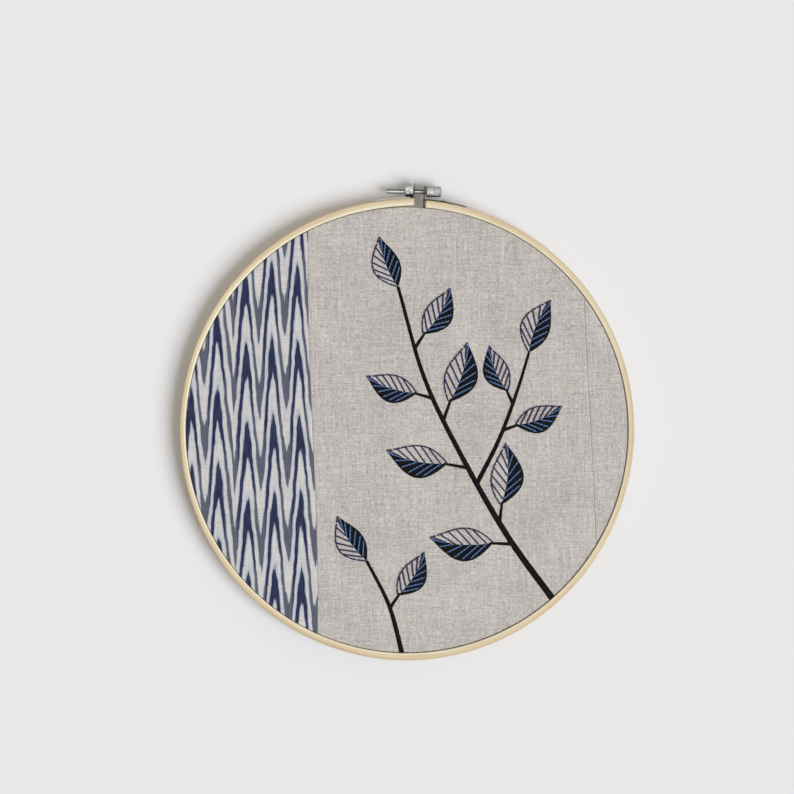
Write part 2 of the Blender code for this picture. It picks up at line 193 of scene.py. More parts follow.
def flat_panel(left, right):
    """Cuts one panel flat: its points and triangles. left and right are its seams, or None at the rim.
    loops lie along the rim, each so far past the start of the bend, and insides so far in from a seam."""
    quarter = EDGE_BEND * math.pi / 2
    loops = [-7 * MM, -3 * MM, -1 * MM] + [quarter * i / 4 for i in range(5)]
    loops += [quarter + SKIRT_LENGTH * i / 4 for i in range(1, 5)]
    fold = SEAM_FOLD * math.pi / 2
    insides = [-SEAM_ALLOWANCE, -5 * MM, -2.4 * MM, -1 * MM, -fold, -fold / 2, 0, fold / 2, fold, 1 * MM,
               2.2 * MM]

    def seam_distance(across, up):
        from_left = across - left(up) if left else np.full_like(across, 1.0)
        from_right = right(up) - across if right else np.full_like(across, 1.0)
        return np.minimum(from_left, from_right)

    count = int(2 * RING_UP / FLAT_STEP) + 1
    line = (np.arange(count) - (count - 1) / 2) * FLAT_STEP
    across, up = (grid.ravel() for grid in np.meshgrid(line, line))
    kept = (past_bend(across, up) < -GRID_TO_BEND) & (seam_distance(across, up) > GRID_TO_SEAM)
    corners = list(zip(across[kept], up[kept]))
    angles = np.arange(0, math.tau, RIM_STEP / RING_UP)
    for past in loops[:-1]:
        outward = BEND_OUTWARD + past
        across = (RING_ACROSS + outward) * np.cos(angles)
        up = (RING_UP + outward) * np.sin(angles)
        kept = seam_distance(across, up) > LOOP_TO_SEAM
        corners.extend(zip(across[kept], up[kept]))
    sides = []
    rows = []
    for seam, inward in ((left, 1), (right, -1)):
        beside = []
        for inside in insides if seam else ():
            folded = inward * float(fold_at_seam(inside)[0])
            heights = [rim_crossing(seam, folded, past, end) for past in loops for end in (1, -1)]
            bottom, top = (rim_crossing(seam, folded, -GRID_TO_BEND, end) for end in (-1, 1))
            heights.extend(np.arange(bottom, top, FLAT_STEP))
            heights.sort()
            beside.append([(seam(height) + inward * inside, height) for height in heights])
        if beside:
            rows.extend(beside)
            side = [row[0] for row in beside[:0:-1]] + beside[0] + [row[-1] for row in beside[1:]]
            sides.insert(0, side[::-inward])

    def rim_arc(start, end):
        first = math.atan2(start[1] / RING_UP, start[0] / RING_ACROSS)
        last = math.atan2(end[1] / RING_UP, end[0] / RING_ACROSS)
        if last < first:
            last += math.tau
        steps = max(int((last - first) * RING_UP / RIM_STEP), 2)
        turns = np.linspace(first, last, steps + 1)[1:-1]
        return [rim_point(BEND_OUTWARD + loops[-1], turn) for turn in turns]

    outline = []
    for side, following in zip(sides, sides[1:] + sides[:1]):
        outline += side + rim_arc(side[-1], following[0])
    return flat_mesh(corners, [outline], rows)


def map_threads(piece, across, up, seam):
    """Gives a piece the cloth's flat coordinates as a UV map. The threads follow the seam's bends, less so
    farther from it."""
    pulled = PULL_FAR + PULL_BESIDE * np.exp(-np.abs(across - seam(up)) / PULL_REACH)
    places = np.column_stack((across - seam(0) - pulled * (seam(up) - seam(0)), up))
    threads = piece.data.uv_layers.new(name="cut")
    order = np.zeros(len(piece.data.loops), int)
    piece.data.loops.foreach_get("vertex_index", order)
    threads.data.foreach_set("uv", places[order].ravel())


def thickened(piece, thickness):
    """Gives a piece made of one surface a thickness, half of it to each side."""
    solid = piece.modifiers.new("thickness", "SOLIDIFY")
    solid.thickness = thickness
    solid.offset = 0


def hooped_panel(name, node, left, right, material):
    """One panel of the patchwork, cut flat, folded at its seams and stretched over the inner hoop."""
    flat, faces = flat_panel(left, right)
    across, up = flat.T
    moved, depth = across.copy(), np.zeros_like(across)
    for seam, inward in ((left, 1), (right, -1)):
        if seam:
            inside = inward * (across - seam(up))
            near = inside < FLAT_BESIDE_SEAM
            folded, behind = fold_at_seam(inside)
            moved[near] = (seam(up) + inward * folded)[near]
            depth[near] = behind[near]
    panel = add_piece(name, on_hoop(moved, up, depth), faces, material, sharp=80)
    map_threads(panel, across, up, left or right)
    thickened(panel, CLOTH_THICKNESS)
    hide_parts(node)
    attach(panel, "root")


def sign(operation, swapped=False):
    """A method for one sign or function of a formula. It adds a Math node of that kind."""

    def apply(self, other=0.0):
        first, second = (other, self) if swapped else (self, other)
        return calc(operation, first, second)

    return apply


class Value:
    """A shader node's output. In a formula, each sign or function on it adds a Math node to its tree."""

    __add__ = __radd__ = sign("ADD")
    __mul__ = __rmul__ = sign("MULTIPLY")
    __sub__ = sign("SUBTRACT")
    __rsub__ = sign("SUBTRACT", swapped=True)
    __truediv__ = sign("DIVIDE")
    __abs__ = sign("ABSOLUTE")
    __floor__ = sign("FLOOR")
    __round__ = sign("ROUND")

    def __init__(self, socket):
        self.socket = socket
        self.tree = socket.id_data

    def feeds(self, node, name):
        """Links the output to a node's input."""
        self.tree.links.new(self.socket, node.inputs[name])


def put(tree, kind, inputs=None, output=0, **settings):
    """Adds a shader node and gives one of its outputs. An input given a Value is linked, any other is set."""
    made = tree.nodes.new(kind)
    for name, value in settings.items():
        setattr(made, name, value)
    for name, value in (inputs or {}).items():
        if isinstance(value, Value):
            value.feeds(made, name)
        else:
            made.inputs[name].default_value = value
    return Value(made.outputs[output])


def all_outputs(value):
    """Every output of the node that a Value comes from."""
    return [Value(socket) for socket in value.socket.node.outputs]


def tree_of(*inputs):
    """The tree of the first Value among some inputs."""
    return next(value.tree for value in inputs if isinstance(value, Value))


def calc(operation, first, second=0.0, third=0.0, clamp=False):
    """A Math node's result."""
    inputs = {0: first, 1: second, 2: third}
    return put(tree_of(first, second, third), "ShaderNodeMath", inputs, operation=operation, use_clamp=clamp)


def vector_of(x=0.0, y=0.0, z=0.0):
    """A vector from its three parts."""
    return put(tree_of(x, y, z), "ShaderNodeCombineXYZ", {0: x, 1: y, 2: z})


def parts_of(vector):
    """A vector's three parts."""
    return all_outputs(put(vector.tree, "ShaderNodeSeparateXYZ", {0: vector}))


def noise(vector, scale=1.0, detail=2.0, roughness=0.5):
    """Smooth noise from about 0.2 to 0.8 around 0.5."""
    inputs = {"Vector": vector, "Scale": scale, "Detail": detail, "Roughness": roughness}
    return put(vector.tree, "ShaderNodeTexNoise", inputs)


def rescaled(value, low, high, new_low=0.0, new_high=1.0, smooth=False):
    """Maps a value from low..high to new_low..new_high and holds it there."""
    inputs = {0: value, 1: low, 2: high, 3: new_low, 4: new_high}
    kind = "SMOOTHSTEP" if smooth else "LINEAR"
    return put(value.tree, "ShaderNodeMapRange", inputs, interpolation_type=kind)


def blended(share, first, second, kind="MIX"):
    """Blends two colours, each three numbers or a Value."""
    first, second = (c if isinstance(c, Value) else (*c, 1) for c in (first, second))
    inputs = {0: share, 6: first, 7: second}
    return put(tree_of(share, first, second), "ShaderNodeMix", inputs, 2, data_type="RGBA", blend_type=kind)


def new_group(name, inputs, outputs):
    """An empty shader group. Gives it, its inputs as Values by name, and the node for its outputs."""
    group = bpy.data.node_groups.new(name, "ShaderNodeTree")
    for label, kind in inputs.items():
        group.interface.new_socket(name=label, in_out="INPUT", socket_type=kind)
    for label in outputs:
        group.interface.new_socket(name=label, in_out="OUTPUT", socket_type="NodeSocketFloat")
    given = {socket.name: Value(socket) for socket in group.nodes.new("NodeGroupInput").outputs}
    return group, given, group.nodes.new("NodeGroupOutput")


def new_material(name, roughness=0.5, **sockets):
    """A material with a Principled shader. Gives the material, its node tree and the shader."""
    material = bpy.data.materials.new(name)
    material.use_nodes = True
    tree = material.node_tree
    shader = tree.nodes["Principled BSDF"]
    shader.inputs["Roughness"].default_value = roughness
    for label, value in sockets.items():
        shader.inputs[label.replace("_", " ")].default_value = value
    return material, tree, shader


def bumped(shader, height, distance, strength=1.0):
    """Feeds a height to the shader's normal through a Bump node."""
    inputs = {"Height": height, "Distance": distance, "Strength": strength}
    put(height.tree, "ShaderNodeBump", inputs).feeds(shader, "Normal")


def plain_weave_group():
    """Threads of a plain weave on the flat cut: their height, how they vary in tone, and their slubs."""
    kinds = {"Cut": "NodeSocketVector", "Pitch": "NodeSocketFloat", "Unevenness": "NodeSocketFloat"}
    group, given, result = new_group("plain weave", kinds, ("Height", "Tone", "Slub"))
    across, up = (part / given["Pitch"] for part in parts_of(given["Cut"])[:2])
    wander_across = noise(vector_of(across, up), 0.05) - 0.5
    wander_up = noise(vector_of(up, across, 7.0), 0.05) - 0.5
    wander = given["Unevenness"] * 5.0
    across = wander_across * wander + across
    up = wander_up * wander + up
    warp_wave, weft_wave = (calc("SINE", part * math.pi) for part in (across, up))
    over = calc("MULTIPLY_ADD", warp_wave * weft_wave, 2.0, 0.5, clamp=True)
    lifted = (over * 0.6 + 0.4) * abs(warp_wave)
    sunk = (over * -0.6 + 1.0) * abs(weft_wave)
    calc("MAXIMUM", lifted, sunk).feeds(result, "Height")
    tones = []
    slubs = []
    for thread, along, start in ((math.floor(across), up, 0.0), (math.floor(up), across, 31.0)):
        tones.append(noise(vector_of(thread * 2.37, along * 0.03, start), 1.0, 1.0, 0.6))
        slub = noise(vector_of(thread * 1.31, along * 0.07, start + 11), 1.0, 0.0)
        slubs.append(rescaled(slub, 0.70, 0.80))
    mixed = over * (tones[0] - tones[1]) + tones[1]
    rescaled(mixed, 0.25, 0.75).feeds(result, "Tone")
    calc("MAXIMUM", *slubs).feeds(result, "Slub")
    return group


plain_weave = plain_weave_group()


def woven(tree, pitch, unevenness_share):
    """Places the weave in a material. Gives its height, tone and slubs, and the flat cut's coordinates."""
    cut = put(tree, "ShaderNodeUVMap", uv_map="cut")
    inputs = {"Cut": cut, "Pitch": pitch, "Unevenness": unevenness_share}
    return *all_outputs(put(tree, "ShaderNodeGroup", inputs, node_tree=plain_weave)), cut


# Linen: undyed yarn, each thread a little lighter or darker than the next, with pale slubs.
LINEN_LIGHT = (0.825, 0.775, 0.730)
LINEN_DARK = (0.342, 0.321, 0.300)
LINEN_SLUB = (0.74, 0.70, 0.65)
LINEN_PITCH = 0.56 * MM
LINEN_UNEVENNESS = 0.6


def linen_material():
    material, tree, shader = new_material("natural linen", 0.92, Sheen_Weight=0.18, Sheen_Roughness=0.6,
                                          Specular_IOR_Level=0.15)
    height, yarn, slub, cut = woven(tree, LINEN_PITCH, LINEN_UNEVENNESS)
    place = parts_of(cut)
    tone = (noise(cut, 22.0, 3.0, 0.6) - 0.5) * 0.45 + ((yarn - 0.5) * 0.80 + 0.5)
    for thin, long, strength in ((0, 1, 1.15), (1, 0, 1.5)):
        lane = vector_of(place[thin] * 1900.0, place[long] * 340.0, 5.0 * thin)
        tone = (noise(lane, 1.0, 2.0, 0.7) - 0.5) * strength + tone
    colour = blended(tone, LINEN_DARK, LINEN_LIGHT)
    warmth = rescaled(noise(cut, 55.0), 0.35, 0.65) * 0.25
    colour = blended(warmth, colour, (1.0, 0.93, 0.95), "MULTIPLY")
    colour = blended(slub * 0.55, colour, LINEN_SLUB)
    # Painted shade: the weave's low places are darkened by up to a fifth.
    hollow_shade = rescaled(height, 0.0, 0.5, 0.80, 1.0)
    blended(1.0, colour, hollow_shade, "MULTIPLY").feeds(shader, "Base Color")
    bumped(shader, slub * 0.5 + height, 0.16 * MM, 0.8)
    return material


linen = linen_material()
left_seam = seam_line(LEFT_SEAM)
right_seam = seam_line(RIGHT_SEAM)
hooped_panel("linen_cloth", "linen_panel", left_seam, right_seam, linen)
hooped_panel("linen_side_cloth", "linen_side_panel", right_seam, None, linen)

# Ikat cotton
# The warp is tie-dyed before weaving, so the zigzag bands have feathered edges that run up and down the
# threads. Each band is navy round its peaks and slate grey in its valleys, on an off-white ground.

IKAT_GROUND = ((0.58, 0.56, 0.545), (0.735, 0.71, 0.69))
IKAT_FRINGE = (0.38, 0.445, 0.55)
IKAT_NAVY = (0.015, 0.0182, 0.070)
IKAT_SLATE = (0.105, 0.110, 0.155)
IKAT_PITCH = 0.42 * MM
IKAT_UNEVENNESS = 0.35
PEAK_FROM_SEAM = 8.5
PEAK_SPACING = 17.6
BAND_SPACING = 51.1
FIRST_BAND_UP = 112.3
BAND_HEIGHT = 0.465
# How wide a thread and a tied bundle are in the pattern, and half the width of a slip, in mm.
THREADS_APART = 0.45
BUNDLES_APART = 1.9
SLIP_HALF = 0.8
# The columns past these places from the seam, in mm, are spread a little wider apart.
WIDE_COLUMN = (43.7, 63.5)
WIDER_BY = 2.2
# Where the tied bundles slipped against each other: place from the seam in mm, and how far, in bands.
SLIPS = ((16.9, -0.026), (34.5, 0.092), (53.6, -0.45), (72.5, 0.03), (90.0, 0.05))


def ikat_material():
    material, tree, shader = new_material("ikat cotton", 0.88, Sheen_Weight=0.15, Sheen_Roughness=0.5,
                                          Specular_IOR_Level=0.2)
    height, yarn, _, cut = woven(tree, IKAT_PITCH, IKAT_UNEVENNESS)
    across, up, _ = parts_of(cut)
    across = across * -1000.0
    up = up * 1000.0

    thread_lane = vector_of(math.floor(across / THREADS_APART) * 3.7, up * 0.06)
    bundle_lane = vector_of(math.floor(across / BUNDLES_APART) * 5.3, up * 0.02, 9.0)
    slow_lane = vector_of(across * 0.09, up * 0.012, 4.0)
    feather = (noise(thread_lane, 1.0, 0.0) - 0.5) * 0.13
    uneven = (noise(bundle_lane, 1.0, 0.0) - 0.5) * 0.09
    drift = (noise(slow_lane, 1.0, 1.0) - 0.5) * 0.16
    shift = feather + uneven + drift
    for start, slip in SLIPS:
        shift = shift + rescaled(across, start - SLIP_HALF, start + SLIP_HALF, 0.0, slip)

    from_peak = across - PEAK_FROM_SEAM - rescaled(across, *WIDE_COLUMN, 0.0, WIDER_BY)
    sway = noise(vector_of(3.0, up * 0.02), 1.0, 1.0) - 0.5
    ripple = noise(vector_of(across * 0.14, up * 0.075, 17.0), 1.0, 2.0, 0.6) - 0.5
    column = (ripple * 1.9 + (sway * 1.8 + from_peak)) / PEAK_SPACING
    leftward = column - round(column)
    off_peak = abs(leftward) * 2.0
    slope = off_peak * (1.0 - off_peak)
    left_flank = calc("SIGN", leftward) * slope

    drop = off_peak * 0.20 + rescaled(off_peak, 0.0, 1.0, smooth=True) * 1.31
    phase = calc("FRACT", (FIRST_BAND_UP - up) / BAND_SPACING - shift - drop)
    from_middle = abs(phase - BAND_HEIGHT / 2)
    from_middle = calc("MINIMUM", from_middle, abs(from_middle - 1.0))
    half_height = left_flank * 0.09 + BAND_HEIGHT / 2
    softness = slope * 0.28 + 0.035
    inside = (half_height - from_middle) / softness
    dye = calc("ADD", inside, 0.5, clamp=True)
    fringe = calc("MULTIPLY_ADD", inside, 0.42, 1.1, clamp=True)

    strength = noise(thread_lane, 2.0, 1.0)
    slate = rescaled(left_flank * -0.5 + (strength * 0.16 + off_peak), 0.58, 0.76, smooth=True)
    dyed = blended(slate, IKAT_NAVY, IKAT_SLATE)
    dyed = blended(rescaled(strength, 0.40, 0.80, 0.0, 0.10), dyed, IKAT_FRINGE)
    ground = blended(yarn, *IKAT_GROUND)
    stained = rescaled(noise(slow_lane, 6.0), 0.5, 0.8, 0.0, 0.35)
    ground = blended(stained, ground, IKAT_FRINGE)
    colour = blended(fringe * (slate * -0.40 + 0.72), ground, IKAT_FRINGE)
    colour = blended(dye, colour, dyed)
    blended(1.0, colour, yarn * 0.3 + 0.85, "MULTIPLY").feeds(shader, "Base Color")
    bumped(shader, height, 0.10 * MM, 0.7)
    return material


hooped_panel("ikat_cloth", "ikat_panel", None, left_seam, ikat_material())

# Frayed edges
# The cloth is cut and not hemmed, so thread ends stand out of each seam allowance's raw edge and of the
# trimmed edge between the two hoops. They are fine hairs of the cloth's own yarn.

FRAY_SEED = 7
HAIR_RADIUS = 0.09 * MM
# How long the hairs are and how far apart they stand, least and most: at the seams in mm, and at the rim
# in mm and in radians round the hoop.
SEAM_HAIRS = (0.8, 3.0)
SEAM_HAIRS_APART = (0.7, 1.9)
RIM_HAIRS = (0.3, 0.85)
RIM_HAIRS_APART = (0.006, 0.02)


def skinned(rows, ring):
    """Points and faces of a skin over rows of points. A ring joins its last row to its first, or else the
    ends are capped."""
    size = len(rows[0])
    points = [point for row in rows for point in row]
    faces = []
    for i in range(len(rows) if ring else len(rows) - 1):
        here, there = i * size, (i + 1) % len(rows) * size
        for k in range(size):
            after = (k + 1) % size
            faces.append((here + k, here + after, there + after, there + k))
    if not ring:
        faces.append(tuple(reversed(range(size))))
        faces.append(tuple(range(len(points) - size, len(points))))
    return points, faces


def heading(path, i):
    """The unit direction of a path at one of its points."""
    return (path[min(i + 1, len(path) - 1)] - path[max(i - 1, 0)]).normalized()


class Skins:
    """Collects skins into one mesh."""

    def __init__(self):
        self.points = []
        self.faces = []

    def add(self, rows):
        """Adds a skin with closed ends over rows of points."""
        points, faces = skinned(rows, False)
        first = len(self.points)
        self.points.extend(points)
        self.faces.extend(tuple(first + corner for corner in face) for face in faces)

    def add_tube(self, path, radius, sides=3):
        """Adds a tube along the points of a path."""
        normal = heading(path, 0).orthogonal()
        rows = []
        for i, point in enumerate(path):
            ahead = heading(path, i)
            normal = (normal - ahead * normal.dot(ahead)).normalized()
            side = ahead.cross(normal)
            turns = [math.tau * k / sides for k in range(sides)]
            rows.append([point + radius * (math.cos(t) * normal + math.sin(t) * side) for t in turns])
        self.add(rows)


def hair_path(start, out, length, chance):
    """A short bent hair from a raw edge: where it starts, which way it points, and how long it is."""
    drift = Vector([chance.uniform(-0.5, 0.5) for _ in range(3)])
    drift.y = chance.uniform(-0.25, 0.1)
    middle = start + out * length * 0.5 + drift * length * 0.15
    return [start - out * 0.4 * MM, middle, start + out * length + drift * length * 0.6]


def frayed_edges():
    """Hairs along the seam allowances' raw edges, in one mesh for the linen and one for the ikat."""
    chance = random.Random(FRAY_SEED)
    hairs = {"linen": Skins(), "ikat": Skins()}
    depth = 2 * SEAM_FOLD
    for line, inward, cloth in ((left_seam, 1, "linen"), (left_seam, -1, "ikat"), (right_seam, 1, "linen"),
                                (right_seam, -1, "linen")):
        reach = inward * (SEAM_ALLOWANCE + SEAM_CLEARANCE)
        height, top = (rim_crossing(line, reach, -1 * MM, end) for end in (-1, 1))
        while height < top:
            across = line(height) + reach
            start = Vector(on_hoop(np.array([across]), np.array([height]), depth)[0])
            length = chance.uniform(*SEAM_HAIRS) * MM
            path = hair_path(start, Vector((inward, 0, 0)), length, chance)
            hairs[cloth].add_tube(path, HAIR_RADIUS)
            height += chance.uniform(*SEAM_HAIRS_APART) * MM
    turn = 0.0
    while turn < math.tau:
        direction = np.array([math.cos(turn)]), np.array([math.sin(turn)])
        radius = rim_radius(*direction, SKIRT_OUTWARD)[0] + chance.uniform(-0.15, 0.15) * MM
        start = Vector((CENTRE.x + radius * math.cos(turn), SKIRT_END_Y, CENTRE.z + radius * math.sin(turn)))
        cloth = "ikat" if math.cos(turn) * radius < left_seam(math.sin(turn) * radius) else "linen"
        length = chance.uniform(*RIM_HAIRS) * MM
        path = [start - Vector((0, 0.5 * MM, 0)), start + Vector((0, length, 0))]
        hairs[cloth].add_tube(path, HAIR_RADIUS)
        turn += chance.uniform(*RIM_HAIRS_APART)
    return hairs


def mottled(name, roughness, scale, detail, first, second, **sockets):
    """A material that wanders between two colours. Gives it, its shader and its coordinates."""
    material, tree, shader = new_material(name, roughness, **sockets)
    place = put(tree, "ShaderNodeTexCoord", output="Object")
    blended(noise(place, scale, detail), first, second).feeds(shader, "Base Color")
    return material, shader, place


for cloth, hairs in frayed_edges().items():
    pale = (0.62, 0.57, 0.52) if cloth == "linen" else (0.62, 0.61, 0.60)
    dark = tuple(0.75 * part for part in pale)
    yarn, _, _ = mottled(f"{cloth} yarn", 0.9, 900.0, 1.0, dark, pale, Sheen_Weight=0.1)
    fray = add_piece(f"{cloth}_frayed_threads", hairs.points, hairs.faces, yarn)
    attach(fray, "root")

# Printed bough
# Matte black ink, screen-printed on the linen: a bough that sweeps up from the lower right with a side
# branch and a low sprig, whose almond leaves are black on one side of the midrib and bare on the other.

INK_THICKNESS = 0.05 * MM
INK_GAP = 0.035 * MM
INK_SEED = 21
STALK_WIDTHS = (2.6, 1.5)
# How far apart the points lie along an outline and inside it. The grid inside it reaches 140 mm each way.
EDGE_STEP = 1.0 * MM
EDGE_STEP_AT_RIM = 0.2 * MM
FILL_STEP = 3
FILL_REACH = 140
RIM_FILL_STEP = 0.5 * MM
# Each stem: its points across and up from the hoop's middle, and its width at the foot and at the tip, in mm.
STEMS = {
    "bough": (((99, -115), (68, -72), (38, -20), (12, 34), (-6, 96)), 4.6, 2.2),
    "branch": (((47, -36), (62, -6), (74, 26), (82, 52)), 3.2, 1.8),
    "sprig": (((-3, -151), (-12, -118), (-27, -88)), 3.4, 2.0),
}
# Each leaf: its stem, share along it, side (1 right, -1 left, 0 at the tip), lean in degrees, and its stalk
# and its length in mm.
LEAVES = (
    ("bough", 0.20, -1, 52, 13, 43),
    ("bough", 0.27, 1, 36, 12, 42),
    ("bough", 0.45, -1, 50, 14, 42),
    ("bough", 0.60, 1, 44, 13, 42),
    ("bough", 0.67, -1, 48, 11, 36),
    ("bough", 0.82, 1, 47, 11, 36),
    ("bough", 1.00, 0, 4, 0, 36),
    ("branch", 0.42, 1, 46, 9, 34),
    ("branch", 0.62, -1, 42, 9, 33),
    ("branch", 1.00, 0, -6, 0, 38),
    ("sprig", 0.48, 1, 52, 10, 34),
    ("sprig", 1.00, 0, 6, 0, 36),
)
LEAF_WIDTH = 0.26
LEAF_CURVE = 0.07


def smooth_line(points, steps):
    """A smooth line through a few points, in metres, as an array of evenly shared points."""
    inner = [np.array(point) for point in points]
    ends = [2 * inner[0] - inner[1], *inner, 2 * inner[-1] - inner[-2]]
    line = []
    for i in range(1, len(ends) - 2):
        p0, p1, p2, p3 = (ends[i + k] for k in (-1, 0, 1, 2))
        for t in np.linspace(0, 1, steps, endpoint=False):
            line.append(0.5 * (2 * p1 + (p2 - p0) * t + (2 * p0 - 5 * p1 + 4 * p2 - p3) * t ** 2
                               + (3 * p1 - p0 - 3 * p2 + p3) * t ** 3))
    line.append(ends[-2])
    return np.array(line) * MM


def along_line(line, share):
    """The point and the unit direction at a share of a line's length."""
    steps = np.linalg.norm(np.diff(line, axis=0), axis=1)
    reach = np.concatenate(([0], np.cumsum(steps)))
    at = share * reach[-1]
    point = np.array([np.interp(at, reach, line[:, k]) for k in (0, 1)])
    i = min(np.searchsorted(reach, at), len(line) - 1)
    direction = line[max(i, 1)] - line[max(i, 1) - 1]
    return point, direction / np.linalg.norm(direction)


class Leaf:
    """One leaf: a slightly curved midrib, with black print on one side of it and bare linen on the other."""

    def __init__(self, stem, share, side, lean, stalk, length):
        joint, along = along_line(stem_lines[stem], share)
        self.bow = -side or 1
        turn = self.bow * math.radians(lean)
        cos, sin = math.cos(turn), math.sin(turn)
        self.heading = np.array((cos * along[0] - sin * along[1], sin * along[0] + cos * along[1]))
        self.leftward = np.array((-self.heading[1], self.heading[0]))
        self.joint = joint
        self.foot = joint + self.heading * stalk * MM
        self.length = length * MM
        self.black_side = -1 if side >= 0 else 1

    def place(self, share, side=0.0):
        """A point of the leaf: a share of its length, and of its half width to the left (1) or right (-1)."""
        outline = math.sin(math.pi * share ** 0.85) ** 1.1 if 0 < share < 1 else 0.0
        sideways = side * LEAF_WIDTH * outline + self.bow * LEAF_CURVE * 4 * share * (1 - share)
        return self.foot + self.length * (share * self.heading + sideways * self.leftward)

    def black_half(self):
        shares = np.linspace(0, 1, 46)
        edge = [self.place(t, self.black_side) for t in shares]
        return edge + [self.place(t) for t in shares[-2:0:-1]]


def ribbon(line, foot_width, tip_width):
    """The outline of a printed stem along a line."""
    ahead = np.gradient(line, axis=0)
    ahead /= np.linalg.norm(ahead, axis=1)[:, None]
    leftward = np.column_stack((-ahead[:, 1], ahead[:, 0]))
    half = np.linspace(foot_width, tip_width, len(line))[:, None] * MM / 2
    return list(line + leftward * half) + list(line - leftward * half)[::-1]


def hand_cut(outline, chance, wobble=0.07 * MM):
    """Gives an outline the slightly ragged edge of ink on threads. Its points come closer at the rim, where
    the cloth turns over."""
    ragged = []
    for i, point in enumerate(outline):
        following = outline[(i + 1) % len(outline)]
        spacing = EDGE_STEP if past_bend(*following) < -1.5 * MM else EDGE_STEP_AT_RIM
        steps = max(int(np.linalg.norm(following - point) / spacing), 1)
        for k in range(steps):
            spot = point + (following - point) * k / steps
            ragged.append(spot + np.array([chance.uniform(-wobble, wobble) for _ in (0, 1)]))
    return ragged


stem_lines = {name: smooth_line(points, 16) for name, (points, _, _) in STEMS.items()}
leaves = [Leaf(*row) for row in LEAVES]


def printed_bough():
    """The ink's flat triangles: stems, stalks and black half-leaves, joined where they overlap."""
    chance = random.Random(INK_SEED)
    outlines = []
    for name, (_, foot_width, tip_width) in STEMS.items():
        outlines.append(hand_cut(ribbon(stem_lines[name], foot_width, tip_width), chance))
    for leaf in leaves:
        outlines.append(hand_cut(leaf.black_half(), chance))
        if np.linalg.norm(leaf.foot - leaf.joint) > 1 * MM:
            stalk = np.linspace(leaf.joint, leaf.place(0.06), 12)
            outlines.append(hand_cut(ribbon(stalk, *STALK_WIDTHS), chance))
    line = np.arange(-FILL_REACH, FILL_REACH + 1, FILL_STEP) * MM
    fill = [(x, z) for x in line for z in line if x > left_seam(z)]
    for past in (-1.0, 0.0, 0.2, 0.4, 0.6, 0.87, 2.0):
        turns = np.arange(0, math.tau, RIM_FILL_STEP / RING_UP)
        fill.extend(rim_point(BEND_OUTWARD + past * MM, turn) for turn in turns)
    return flat_mesh(fill, outlines)


def ink_material():
    material, tree, shader = new_material("black printing ink", 0.62, Specular_IOR_Level=0.12)
    height, yarn, _, cut = woven(tree, LINEN_PITCH, LINEN_UNEVENNESS)
    worn = rescaled(yarn, 0.5, 1.0) * 0.5
    thin = rescaled(noise(cut, 260.0, 3.0, 0.7), 0.56, 0.72) * 0.40
    colour = blended(worn, (0.0045, 0.0045, 0.0048), (0.012, 0.0115, 0.0115))
    blended(thin, colour, (0.034, 0.031, 0.029)).feeds(shader, "Base Color")
    rescaled(yarn, 0.0, 1.0, 0.70, 0.90).feeds(shader, "Roughness")
    bumped(shader, height, 0.13 * MM, 0.7)
    return material


ink_flat, ink_faces = printed_bough()
ink_across, ink_up = ink_flat.T
ink_depth = -CLOTH_THICKNESS / 2 - (INK_GAP + INK_THICKNESS / 2)
ink = add_piece("printed_bough", on_hoop(ink_across, ink_up, ink_depth), ink_faces, ink_material(), sharp=80)
map_threads(ink, ink_across, ink_up, left_seam)
thickened(ink, INK_THICKNESS)
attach(ink, "root")

# Stitches
# Stranded cotton floss, in long straight stitches: light blue veins on each leaf's black half, and navy
# veins and a navy outline on its bare half. The floss runs in front and hops behind from hole to hole.

STRAND_RADIUS = 0.26 * MM
STRAND_OFFSET = 0.27 * MM
FLOSS_TWIST = 5.0 * MM
FLOSS_LIFT = 0.42 * MM
HOLE_REACH = 0.8 * MM
ROUTE_STEP = 0.75 * MM
OUTLINE_STITCHES = 9
# The veins, in shares of the leaf's length: where the first starts, how far on the last, and their lean.
VEINS = 6
FIRST_VEIN = 0.10
VEIN_SPAN = 0.62
VEIN_LEAN = 0.24


def floss_route(holes):
    """The middle line of floss that passes through holes in turn, in front of the cloth and then behind."""
    route = []
    for i in range(len(holes) - 1):
        start, end = holes[i:i + 2]
        length = np.linalg.norm(end - start)
        steps = max(int(length / ROUTE_STEP), 4)
        shares = np.linspace(0, 1, steps, endpoint=False)
        spots = start + (end - start) * shares[:, None]
        near_hole = np.minimum(shares, 1 - shares) * length
        lift = (CLOTH_THICKNESS / 2 + FLOSS_LIFT) * np.sqrt(np.clip(near_hole / HOLE_REACH, 0, 1))
        side = -1 if i % 2 == 0 else 1
        route.extend(Vector(point) for point in on_hoop(spots[:, 0], spots[:, 1], side * lift))
    return route


def add_floss(skins, route, strands):
    """Adds the twisted strands of floss that follow a route."""
    travelled = 0.0
    lines = [[] for _ in range(strands)]
    for i, point in enumerate(route):
        ahead = heading(route, i)
        side = ahead.cross(Vector((0, 1, 0)))
        side = side.normalized() if side.length > 1e-6 else Vector((1, 0, 0))
        lift = side.cross(ahead)
        if i:
            travelled += (point - route[i - 1]).length
        for k, line in enumerate(lines):
            turn = math.tau * (travelled / FLOSS_TWIST + k / strands)
            line.append(point + STRAND_OFFSET * (math.cos(turn) * side + math.sin(turn) * lift))
    for line in lines:
        skins.add_tube(line, STRAND_RADIUS, 5)


def vein_holes(leaf, side, reach):
    """Holes for the veins on one side of a leaf, from midrib to edge and from edge to midrib in turn."""
    holes = []
    for i in range(VEINS):
        share = FIRST_VEIN + VEIN_SPAN * i / (VEINS - 1)
        rib = leaf.place(share)
        edge = leaf.place(min(share + VEIN_LEAN, 0.97), side * reach)
        holes.extend((rib, edge) if i % 2 == 0 else (edge, rib))
    return holes


